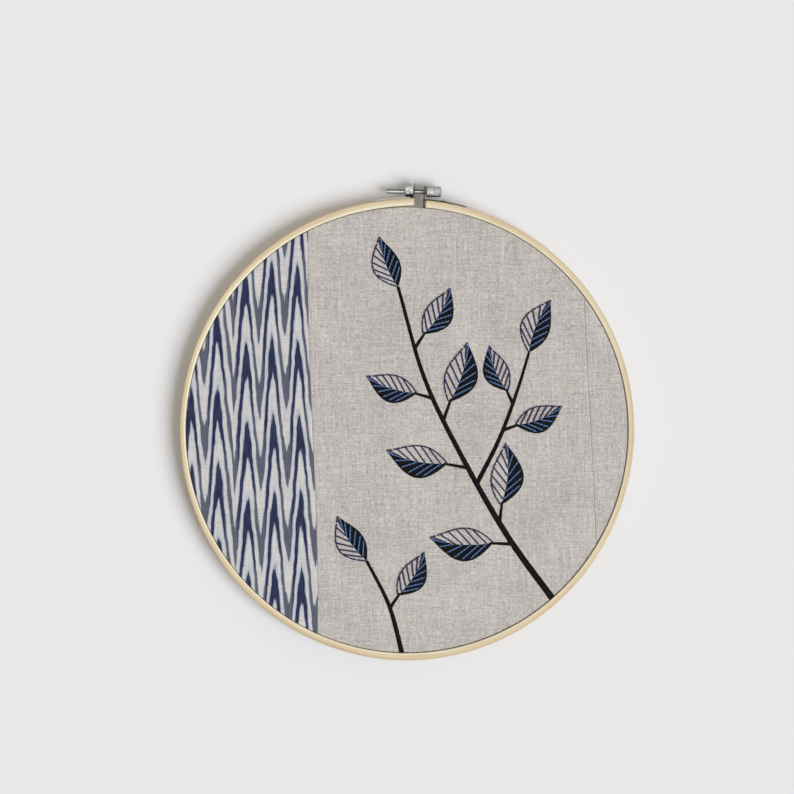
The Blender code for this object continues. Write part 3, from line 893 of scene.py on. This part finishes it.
def outline_holes(leaf, side):
    """Holes for a back-stitched edge: each stitch comes up ahead and goes down where the last one ended."""
    marks = [leaf.place(t, side) for t in np.linspace(0.0, 1.0, OUTLINE_STITCHES + 1)]
    holes = []
    for i in range(OUTLINE_STITCHES):
        holes.extend((marks[i + 1], marks[i]))
    return holes


def floss_material(name, dark, light):
    material, tree, shader = new_material(name, 0.60, Sheen_Weight=0.08, Sheen_Roughness=0.4,
                                          Specular_IOR_Level=0.30)
    fibre = noise(put(tree, "ShaderNodeTexCoord", output="Object"), 2600.0, 2.0, 0.7)
    blended(rescaled(fibre, 0.35, 0.65), dark, light).feeds(shader, "Base Color")
    bumped(shader, fibre, 0.05 * MM, 0.5)
    return material


navy_floss, blue_floss = Skins(), Skins()
for leaf in leaves:
    add_floss(blue_floss, floss_route(vein_holes(leaf, leaf.black_side, 0.86)), 2)
    add_floss(navy_floss, floss_route(outline_holes(leaf, -leaf.black_side)), 3)
    add_floss(navy_floss, floss_route(vein_holes(leaf, -leaf.black_side, 0.97)), 3)

FLOSS = (
    ("navy_stitches", navy_floss, "thread_navy", (0.008, 0.007, 0.036), (0.020, 0.017, 0.110)),
    ("blue_stitches", blue_floss, "thread_blue", (0.060, 0.130, 0.310), (0.130, 0.250, 0.500)),
)
for name, skins, slot_name, dark, light in FLOSS:
    floss = floss_material(name.replace("_", " "), dark, light)
    stitches = add_piece(name, skins.points, skins.faces, floss, sharp=60)
    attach(stitches, "root")

# Hoops
# Two rings bent from split bamboo strip and lacquered. The inner one is closed, its ends glued in a long
# scarf. The outer one is cut through at the top, where the clamp draws its ends together round the cloth.

outer_low, outer_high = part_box("outer_hoop")
INSIDE_ROUNDING = 0.65 * MM
OUTSIDE_ROUNDING = 0.6 * MM
GAP_TURN = math.radians(3.3)
GAP_HALF = 3.95 * MM
END_LIFT = 1.1 * MM
LIFT_LENGTH = 40 * MM
OUTER_INSIDE = 1.6 * MM
SIDE_THICKNESS = (outer_high.x - outer_low.x) / 2 - RING_ACROSS - OUTER_INSIDE
TOP_THICKNESS = CENTRE.z - outer_low.z - RING_UP - OUTER_INSIDE
INNER_THICKNESS = 4.0 * MM
INNER_FRONT_Y = inner_low.y - 0.3 * MM
# Bamboo's own joints: place clockwise from the top in degrees, and how far they swell, in mm.
OUTER_JOINTS = ((48, 0.10), (93, 0.12), (141, 0.10), (186, 0.12), (228, 0.12), (269.2, 0.40), (309.8, 0.30))
INNER_JOINTS = ((25, 0.25), (70, 0.30), (118, 0.25), (162, 0.3), (205, 0.25), (251, 0.3), (297, 0.25),
                (340, 0.3))
# How far a joint's ridge and its low rise reach along the strip.
JOINT_RIDGE = 0.9 * MM
JOINT_RISE = 5 * MM


def strip_section(thickness, depth):
    """A bamboo strip's section, as (outward, back) pairs that run round it, with rounded corners."""
    section = []
    for quarter in range(4):
        rounding = OUTSIDE_ROUNDING if quarter in (0, 3) else INSIDE_ROUNDING
        outward = thickness - rounding if quarter in (0, 3) else rounding
        back = depth - rounding if quarter < 2 else rounding
        for step in range(7):
            turn = math.radians(90 * quarter + 90 * step / 6)
            section.append((outward + rounding * math.cos(turn), back + rounding * math.sin(turn)))
    return section


def bent_strip(side, top, depth, turns, inside, front_y, joints, lift=None):
    """Rows of points of a strip bent round the hoop's middle, and each point's share of the way from the
    strip's inside to its outside. side and top are its thickness there. turns run clockwise from the top."""
    rows = []
    shares = []
    for turn in turns:
        across, up = math.sin(turn), math.cos(turn)
        thickness = side * across * across + top * up * up
        base = float(rim_radius(across, up, inside)) + (lift(turn) if lift else 0.0)
        swell = 0.0
        for degrees, size in joints:
            gap = (math.degrees(turn) - degrees + 180) % 360 - 180
            away = math.radians(gap) * RING_UP
            ridge = math.exp(-(away / JOINT_RIDGE) ** 2)
            swell += size * MM * (ridge + 0.25 * math.exp(-(away / JOINT_RISE) ** 2))
        row = []
        for outward, back in strip_section(thickness, depth):
            radius = base + outward + swell * (outward / thickness) ** 2
            row.append((CENTRE.x + radius * across, front_y + back, CENTRE.z + radius * up))
            shares.append(outward / thickness)
        rows.append(row)
    return rows, shares


def bamboo_grain_group():
    """Fibres that run round the hoop. Coordinates are metres from its middle, so the grain has no seam."""
    kinds = {"From Middle": "NodeSocketVector", "Dark Streaks": "NodeSocketFloat"}
    group, given, result = new_group("bamboo grain", kinds, ("Grain", "Streak", "Height"))
    x, y, z = parts_of(given["From Middle"])
    radius = calc("SQRT", x * x + z * z)

    def fibres(along, across, detail, shift):
        vector = vector_of(x * along + shift, z * along, radius * across)
        inputs = {"Vector": vector, "W": y * across, "Scale": 1.0, "Detail": detail, "Roughness": 0.6}
        return put(group, "ShaderNodeTexNoise", inputs, noise_dimensions="4D")

    broad = fibres(14.0, 420.0, 3.0, 0.0)
    fine = fibres(60.0, 2600.0, 2.0, 5.0)
    dashes = fibres(45.0, 1500.0, 1.0, 9.0)
    streak = rescaled(dashes, 0.60, 0.72) * given["Dark Streaks"]
    rescaled(fine * 0.45 + broad * 0.75, 0.40, 0.80).feeds(result, "Grain")
    streak.feeds(result, "Streak")
    (fine - streak * 0.4).feeds(result, "Height")
    return group


bamboo_grain = bamboo_grain_group()


def bamboo_material(name, pale, honey, pith_and_highlight_share, skin_share, streaks, joints):
    material, tree, shader = new_material(name, 0.42, Coat_Weight=0.6, Coat_Roughness=0.2)
    place = put(tree, "ShaderNodeTexCoord", output="Object")
    from_middle = put(tree, "ShaderNodeVectorMath", {0: place, 1: CENTRE}, operation="SUBTRACT")
    inputs = {"From Middle": from_middle, "Dark Streaks": streaks}
    grain, streak, height = all_outputs(put(tree, "ShaderNodeGroup", inputs, node_tree=bamboo_grain))
    outward = put(tree, "ShaderNodeAttribute", output="Fac", attribute_name="outward")
    x, y, z = parts_of(from_middle)
    slow = noise(vector_of(x * 9.0, y, z * 9.0))
    warm = rescaled(slow, 0.45, 0.7) * 0.45
    # Paler inner edge: partly the strip's paler pith, partly a painted highlight along the inner rounding
    # that faces the light.
    pith_and_highlight = rescaled(slow * 0.3 + outward, 0.25, 0.60, pith_and_highlight_share, 0.0, smooth=True)
    skin = rescaled(slow * 0.5 + outward, 0.75, 1.2, 0.0, skin_share, smooth=True)
    colour = blended(grain, honey, pale)
    for share, tint in ((warm, (0.70, 0.49, 0.275)), (pith_and_highlight, (0.89, 0.82, 0.62)), (skin, (0.50, 0.375, 0.22)),
                        (streak * 0.6, (0.36, 0.23, 0.11))):
        colour = blended(share, colour, tint)
    turn = calc("ARCTAN2", x, z)
    at_skin = rescaled(outward, 0.55, 1.0)
    for degrees, size in joints:
        away = abs(turn - math.radians((degrees + 180) % 360 - 180))
        line = rescaled(away, 0.001, 0.006, 2.2 * size, 0.0, smooth=True) * at_skin
        colour = blended(line, colour, (0.34, 0.22, 0.12))
    colour.feeds(shader, "Base Color")
    rescaled(grain, 0.0, 1.0, 0.34, 0.50).feeds(shader, "Roughness")
    bumped(shader, height, 0.06 * MM, 0.5)
    return material


def add_ring(name, node, closed, material, rows, shares):
    """Makes one of the hoop's rings, and stores how far outward in the strip each of its points lies."""
    ring = add_piece(name, *skinned(rows, closed), material)
    ring.data.attributes.new("outward", "FLOAT", "POINT").data.foreach_set("value", shares)
    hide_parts(node)
    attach(ring, "root")


RING_STATIONS = 480
inner_depth = inner_high.y - INNER_FRONT_Y
inner_turns = [math.tau * i / RING_STATIONS for i in range(RING_STATIONS)]
inner_strip = bent_strip(INNER_THICKNESS, INNER_THICKNESS, inner_depth, inner_turns, -INNER_THICKNESS,
                         INNER_FRONT_Y, INNER_JOINTS)
inner_skin = bamboo_material("bamboo strip, plain", (0.78, 0.68, 0.48), (0.65, 0.51, 0.31), 0.0, 0.1, 0.8,
                             INNER_JOINTS)
add_ring("inner_ring", "inner_hoop", True, inner_skin, *inner_strip)

gap_reach = GAP_HALF / RING_UP


def end_lift(turn):
    """How far the ring's left end stands off the round near the gap, under the clamp's pull."""
    to_end = (GAP_TURN - gap_reach + math.tau - turn) * RING_UP
    return END_LIFT * (1 - min(to_end / LIFT_LENGTH, 1)) ** 2


outer_turns = np.linspace(GAP_TURN + gap_reach, math.tau + GAP_TURN - gap_reach, RING_STATIONS + 1)
outer_strip = bent_strip(SIDE_THICKNESS, TOP_THICKNESS, outer_high.y - outer_low.y, outer_turns, OUTER_INSIDE,
                         outer_low.y, OUTER_JOINTS, end_lift)
outer_skin = bamboo_material("bamboo strip, lacquered", (0.80, 0.685, 0.465), (0.66, 0.52, 0.31), 0.8, 0.6,
                             0.45, OUTER_JOINTS)
add_ring("outer_ring", "outer_hoop", False, outer_skin, *outer_strip)

# Clamp brackets and rivets
# Two strips of plated sheet steel, bent up into ears at the gap and riveted to the ring's outside. The
# right one is folded double and has a tongue that covers the ring's cut end.

BRACKET_EDGE = 0.10 * MM


def plated_steel(name, bright, dull, roughness, scratches, painted_shade_above=1.0, painted_shade_below=1.0):
    """Zinc plate. Painted shade darkens it where its surface looks up or down past the last two values."""
    material, tree, shader = new_material(name, roughness, Metallic=1.0)
    place = put(tree, "ShaderNodeTexCoord", output="Object")
    cloudy = noise(place, 420.0, 4.0, 0.65)
    stretched = put(tree, "ShaderNodeMapping", {"Vector": place, "Scale": (300.0, 5200.0, 2600.0)})
    drawn = noise(stretched, 1.0, 2.0, 0.6)
    colour = blended(rescaled(cloudy, 0.35, 0.7), bright, dull)
    if min(painted_shade_above, painted_shade_below) < 1.0:
        upward = parts_of(put(tree, "ShaderNodeNewGeometry", output="Normal"))[2]
        above = rescaled(upward, painted_shade_above, painted_shade_above + 0.15)
        below = rescaled(upward, -painted_shade_below, -painted_shade_below - 0.15)
        # Painted shade: faces that look up or down turn nearly black and lose their metal shine.
        painted_shade = (above + below) * 0.95
        colour = blended(painted_shade, colour, (0.02, 0.02, 0.02))
        (1.0 - painted_shade).feeds(shader, "Metallic")
    colour.feeds(shader, "Base Color")
    (drawn * scratches + ((cloudy - 0.5) * 0.5 + roughness)).feeds(shader, "Roughness")
    bumped(shader, drawn, 0.02 * MM, 0.35)
    return material


# Painted shade: near the gap the plate is coloured dark brown, standing in for the shade round the ears and
# tongue.
shaded_zinc = plated_steel("zinc plate, painted shade", (0.125, 0.107, 0.088), (0.060, 0.052, 0.044), 0.36, 0.15)
pale_zinc = plated_steel("zinc plate, pressed", (0.66, 0.64, 0.61), (0.52, 0.50, 0.47), 0.34, 0.15)
# Past the left ear the plate is pale. The tongue's side away from the gap stands out by a lip.
EAR_REACH = 7.0 * MM
TONGUE_REACH = 154.0 * MM
TONGUE_SIDE = 2.3 * MM
TONGUE_LIP = 1.2 * MM
WELD = 0.001 * MM
along_gap = Vector((math.cos(GAP_TURN), 0, -math.sin(GAP_TURN)))
for name in ("bracket_left", "bracket_right", "rivet_left", "rivet_right"):
    shape = bmesh.new()
    shape.from_mesh(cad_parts[name].data)
    bmesh.ops.remove_doubles(shape, verts=shape.verts, dist=WELD)
    bmesh.ops.dissolve_limit(shape, angle_limit=math.radians(0.5), verts=shape.verts, edges=shape.edges)
    for vertex in shape.verts if name == "bracket_right" else ():
        from_middle = vertex.co - CENTRE
        if from_middle.length < TONGUE_REACH and from_middle.dot(along_gap) > TONGUE_SIDE:
            vertex.co += TONGUE_LIP * along_gap
    bmesh.ops.bisect_plane(shape, geom=[*shape.verts, *shape.edges, *shape.faces], dist=WELD,
                           plane_co=CENTRE - EAR_REACH * along_gap, plane_no=along_gap)
    mesh = bpy.data.meshes.new(name + "_pressed")
    shape.to_mesh(mesh)
    shape.free()
    mesh.shade_smooth()
    mesh.set_sharp_from_angle(angle=math.radians(35))
    mesh.materials.clear()
    mesh.materials.append(shaded_zinc)
    mesh.materials.append(pale_zinc)
    for face in mesh.polygons:
        from_gap = (face.center - CENTRE).dot(along_gap)
        face.material_index = 1 if from_gap < -EAR_REACH else 0
    pressed = placed(name + "_pressed", mesh)
    rounding = pressed.modifiers.new("worn edges", "BEVEL")
    rounding.width = BRACKET_EDGE
    rounding.segments = 2
    rounding.limit_method = "ANGLE"
    rounding.angle_limit = math.radians(50)
    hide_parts(name)
    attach(pressed, "root")

# Clamp screw and nut
# A 3 mm screw with a knurled head runs through both ears, and a hexagon nut on its far side is held
# still against the left ear. Turning the head draws the two ends of the ring together.

SCREW_RADIUS = 1.5 * MM
THREAD_PITCH = 0.5 * MM
THREAD_DEPTH = 0.12 * MM
THREAD_CREST = 0.50
THREAD_FLANK = 0.45
TIP_LENGTH = 0.45 * MM
SCREW_TURN = GAP_TURN - math.radians(2.6)
SCREW_COS, SCREW_SIN = math.cos(SCREW_TURN), math.sin(SCREW_TURN)
HEAD_LENGTH = 10.3 * MM
HEAD_CHAMFER = 0.7 * MM
KNURL_DEPTH = 0.28 * MM
KNURL_START = 0.55 * MM
KNURL_RUN_IN = 0.3 * MM
KNURLS = 26
HEAD_STEPS = 72
DISH_DEPTH = 0.35 * MM
NUT_FLATS = 6.4 * MM
NUT_END = NUT_FLATS / 2 * 0.96
NUT_ROUNDING = 0.75 * MM
BORE_RADIUS = 1.62 * MM
BORE_FLARE = 0.25 * MM
BORE_FLARE_DEPTH = 0.3 * MM


def clamp_span(node):
    """A CAD node's lowest and highest places along, through and up the screw, which lies a little askew."""
    places = np.array([tuple(vertex.co - CENTRE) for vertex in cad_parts[node].data.vertices])
    along = places[:, 0] * SCREW_COS - places[:, 2] * SCREW_SIN
    up = places[:, 0] * SCREW_SIN + places[:, 2] * SCREW_COS
    leaned = np.column_stack((along, places[:, 1], up))
    return leaned.min(0), leaned.max(0)


screw_low, screw_high = clamp_span("clamp_screw")
nut_low, nut_high = clamp_span("clamp_nut")
SCREW_UP = (screw_low[2] + screw_high[2]) / 2
SCREW_Y = (screw_low[1] + screw_high[1]) / 2
HEAD_RADIUS = (screw_high[2] - screw_low[2]) / 2
HEAD_START = screw_high[0] - HEAD_LENGTH


def turned_rows(stations, segments):
    """Rows of points round the screw's axis. Each station is its place along and a radius for each turn."""
    rows = []
    for along, radius_at in stations:
        row = []
        for k in range(segments):
            turn = math.tau * k / segments
            radius = radius_at(turn)
            through = SCREW_Y + radius * math.cos(turn)
            up = SCREW_UP + radius * math.sin(turn)
            across = CENTRE.x + along * SCREW_COS + up * SCREW_SIN
            row.append((across, CENTRE.y + through, CENTRE.z - along * SCREW_SIN + up * SCREW_COS))
        rows.append(row)
    return rows


def screw_stations():
    """The threaded rod, from its tip to the head, with the tip's thread run out to a point-free end."""
    stations = []
    start, end = screw_low[0], HEAD_START
    steps = int((end - start) / (THREAD_PITCH / 8))
    for i in range(steps + 1):
        along = start + (end - start) * i / steps
        from_tip = along - start
        full = SCREW_RADIUS - max(TIP_LENGTH - from_tip, 0) * 0.8

        def radius(turn, along=along, full=full):
            phase = (along / THREAD_PITCH - turn / math.tau) % 1
            return full - THREAD_DEPTH * min(max((abs(2 * phase - 1) - THREAD_CREST) / THREAD_FLANK, 0), 1)

        stations.append((along, radius))
    return stations


def head_stations():
    """The knurled head: a plain collar, crossed knurling, and chamfered ends."""
    length = screw_high[0] - HEAD_START
    stations = [(HEAD_START, lambda turn: SCREW_RADIUS * 0.98)]
    for i in range(HEAD_STEPS + 1):
        from_start = length * i / HEAD_STEPS
        from_end = min(from_start, length - from_start)
        full = HEAD_RADIUS - max(HEAD_CHAMFER - from_end, 0)
        depth = KNURL_DEPTH * min(max((from_end - KNURL_START) / KNURL_RUN_IN, 0), 1)

        def radius(turn, from_start=from_start, full=full, depth=depth):
            slant = from_start / HEAD_RADIUS
            first = abs(math.sin((turn + slant) * KNURLS / 2))
            second = abs(math.sin((turn - slant) * KNURLS / 2))
            return full - depth * (1 - min(first, second) ** 0.6)

        stations.append((HEAD_START + from_start, radius))
    dish = screw_high[0]
    stations.append((dish, lambda turn: HEAD_RADIUS * 0.55))
    stations.append((dish - DISH_DEPTH, lambda turn: HEAD_RADIUS * 0.45))
    return stations


def nut_stations():
    """A hexagon nut, its corners turned off at both ends, with its bore."""
    start, end = nut_low[0], nut_high[0]
    corner = NUT_FLATS / 2 / math.cos(math.pi / 6)

    def hexagon(limit):
        def radius(turn):
            off = (turn + math.pi / 6) % (math.pi / 3) - math.pi / 6
            return min(NUT_FLATS / 2 / math.cos(off), limit)
        return radius

    stations = []
    for i in range(7):
        share = i / 6
        limit = NUT_END + (corner * 1.02 - NUT_END) * math.sin(share * math.pi / 2)
        stations.append((start + share * NUT_ROUNDING, hexagon(limit)))
    stations += [(start + end - along, radius) for along, radius in reversed(stations)]
    for along, radius in ((end, BORE_RADIUS + BORE_FLARE), (end - BORE_FLARE_DEPTH, BORE_RADIUS),
                          (start + BORE_FLARE_DEPTH, BORE_RADIUS), (start, BORE_RADIUS + BORE_FLARE)):
        stations.append((along, lambda turn, radius=radius: radius))
    return stations


# The last two values of each plate set where its painted shade starts, looking up and looking down.
rod_zinc = plated_steel("zinc plate, threaded", (0.82, 0.84, 0.83), (0.66, 0.69, 0.68), roughness=0.20,
                        scratches=0.08, painted_shade_above=0.12, painted_shade_below=0.52)
head_zinc = plated_steel("zinc plate, knurled", (0.70, 0.71, 0.70), (0.26, 0.27, 0.27), roughness=0.26,
                         scratches=0.12, painted_shade_above=0.62, painted_shade_below=0.92)
nut_zinc = plated_steel("zinc plate, turned", (0.82, 0.83, 0.82), (0.12, 0.125, 0.125), roughness=0.18,
                        scratches=0.10, painted_shade_above=0.95, painted_shade_below=0.45)
turned = Skins()
turned.add(turned_rows(screw_stations(), 24))
rod_faces = len(turned.faces)
turned.add(turned_rows(head_stations(), KNURLS * 6))
screw = add_piece("knurled_screw", turned.points, turned.faces, rod_zinc, sharp=50)
screw.data.materials.append(head_zinc)
for face in screw.data.polygons[rod_faces:]:
    face.material_index = 1
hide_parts("clamp_screw")
nut = add_piece("hexagon_nut", *skinned(turned_rows(nut_stations(), 72), True), nut_zinc, sharp=25)
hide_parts("clamp_nut")
for piece in (screw, nut):
    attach(piece, "root")

# Wall, floor, light and camera
# A plain pale wall that is clear from behind, so that the back can be looked at, and a pale floor well
# below. One broad soft light stands low at the right, and the sky all round fills the shadows.

WALL_Y = 0.3 * MM
WALL_HALF = 3
WALL_TOP = 2
FLOOR_Z = -1.45
FLOOR_HALF = 9
LIGHT_ANGLE = math.radians(37.8)
LIGHT_TURN = math.radians(120)
LIGHT_RISE = math.radians(43.5)
ROOM_BRIGHT = 0.493
ROOM_DIM = 0.155
BACKDROP = 0.8
MIRROR_BRIGHT = 0.95
MIRROR_DIM = 0.04
CAMERA_DISTANCE = 1.1835
CAMERA_X = -6.7 * MM
CAMERA_Z = -122.1 * MM


def stage_plane(name, corners, material):
    """A large plane that lights nothing and shades nothing."""
    plane = add_piece(name, corners, [(0, 1, 2, 3)], material)
    plane.visible_shadow = False
    plane.visible_diffuse = False


def wall_material():
    material, shader, place = mottled("wall paint", 0.9, 3.0, 2.0, (0.835, 0.835, 0.845),
                                      (0.855, 0.855, 0.865), Specular_IOR_Level=0.1)
    tree = place.tree
    bumped(shader, noise(place, 380.0, 3.0), 0.08 * MM, 0.3)
    clear = put(tree, "ShaderNodeBsdfTransparent")
    behind = put(tree, "ShaderNodeNewGeometry", output="Backfacing")
    either = put(tree, "ShaderNodeMixShader", {0: behind, 1: Value(shader.outputs[0]), 2: clear})
    either.feeds(tree.nodes["Material Output"], "Surface")
    return material


floor_paint, _, _ = mottled("floor", 0.7, 2.0, 3.0, (0.80, 0.80, 0.81), (0.86, 0.86, 0.87))
stage_plane("wall", [(-WALL_HALF, WALL_Y, FLOOR_Z), (WALL_HALF, WALL_Y, FLOOR_Z),
                     (WALL_HALF, WALL_Y, WALL_TOP), (-WALL_HALF, WALL_Y, WALL_TOP)], wall_material())
stage_plane("floor", [(-FLOOR_HALF, -FLOOR_HALF, FLOOR_Z), (FLOOR_HALF, -FLOOR_HALF, FLOOR_Z),
                      (FLOOR_HALF, FLOOR_HALF, FLOOR_Z), (-FLOOR_HALF, FLOOR_HALF, FLOOR_Z)], floor_paint)


def soft_light(name, way, strength, colour):
    """A broad even light that shines on the hoop from one way."""
    lamp = bpy.data.lights.new(name, "SUN")
    lamp.angle = LIGHT_ANGLE
    lamp.energy = strength
    lamp.color = colour
    placed(name, lamp).rotation_euler = (-way).to_track_quat("-Z", "Y").to_euler()


flat_way = Vector((math.sin(LIGHT_TURN), 0, math.cos(LIGHT_TURN)))
window_way = flat_way * math.cos(LIGHT_RISE) - Vector((0, 1, 0)) * math.sin(LIGHT_RISE)
soft_light("window", window_way, 2.74, (0.868, 0.922, 0.99))
soft_light("back fill", Vector((0.9, 2.2, 0.6)), 1.4, (1.0, 0.99, 0.97))
soft_light("ceiling", Vector((0, 0.1, 1)), 1.0, (1.0, 0.99, 0.97))

world = bpy.data.worlds.new("pale room")
world.use_nodes = True
sky_axes = parts_of(put(world.node_tree, "ShaderNodeTexCoord", output="Generated"))
sky_glow = rescaled(sky_axes[1], -0.85, 0.15, ROOM_BRIGHT, ROOM_DIM, smooth=True)
mirrored = rescaled(sky_axes[1], -0.60, -0.10, MIRROR_BRIGHT, MIRROR_DIM, smooth=True)
mirrored = calc("MAXIMUM", mirrored * rescaled(sky_axes[2], -0.95, -0.70, smooth=True), MIRROR_DIM)
sky_colour = (1.0, 0.92, 0.82)
for rays, glow, colour in (("Is Glossy Ray", mirrored, (0.97, 0.99, 1.0)),
                           ("Is Camera Ray", BACKDROP, (0.99, 0.99, 1.0))):
    share = put(world.node_tree, "ShaderNodeLightPath", output=rays)
    sky_glow = put(world.node_tree, "ShaderNodeMix", {0: share, 2: sky_glow, 3: glow})
    sky_colour = blended(share, sky_colour, colour)
background = world.node_tree.nodes["Background"]
sky_glow.feeds(background, "Strength")
sky_colour.feeds(background, "Color")
bpy.context.scene.world = world
bpy.context.scene.view_settings.view_transform = "Standard"

lens = bpy.data.cameras.new("camera")
lens.lens = 80
lens.sensor_width = 36
lens.clip_start = 0.05
camera = placed("camera", lens)
camera.location = (CAMERA_X, outer_low.y - CAMERA_DISTANCE, CAMERA_Z)
camera.rotation_euler = (math.radians(90), 0, 0)
bpy.context.scene.camera = camera
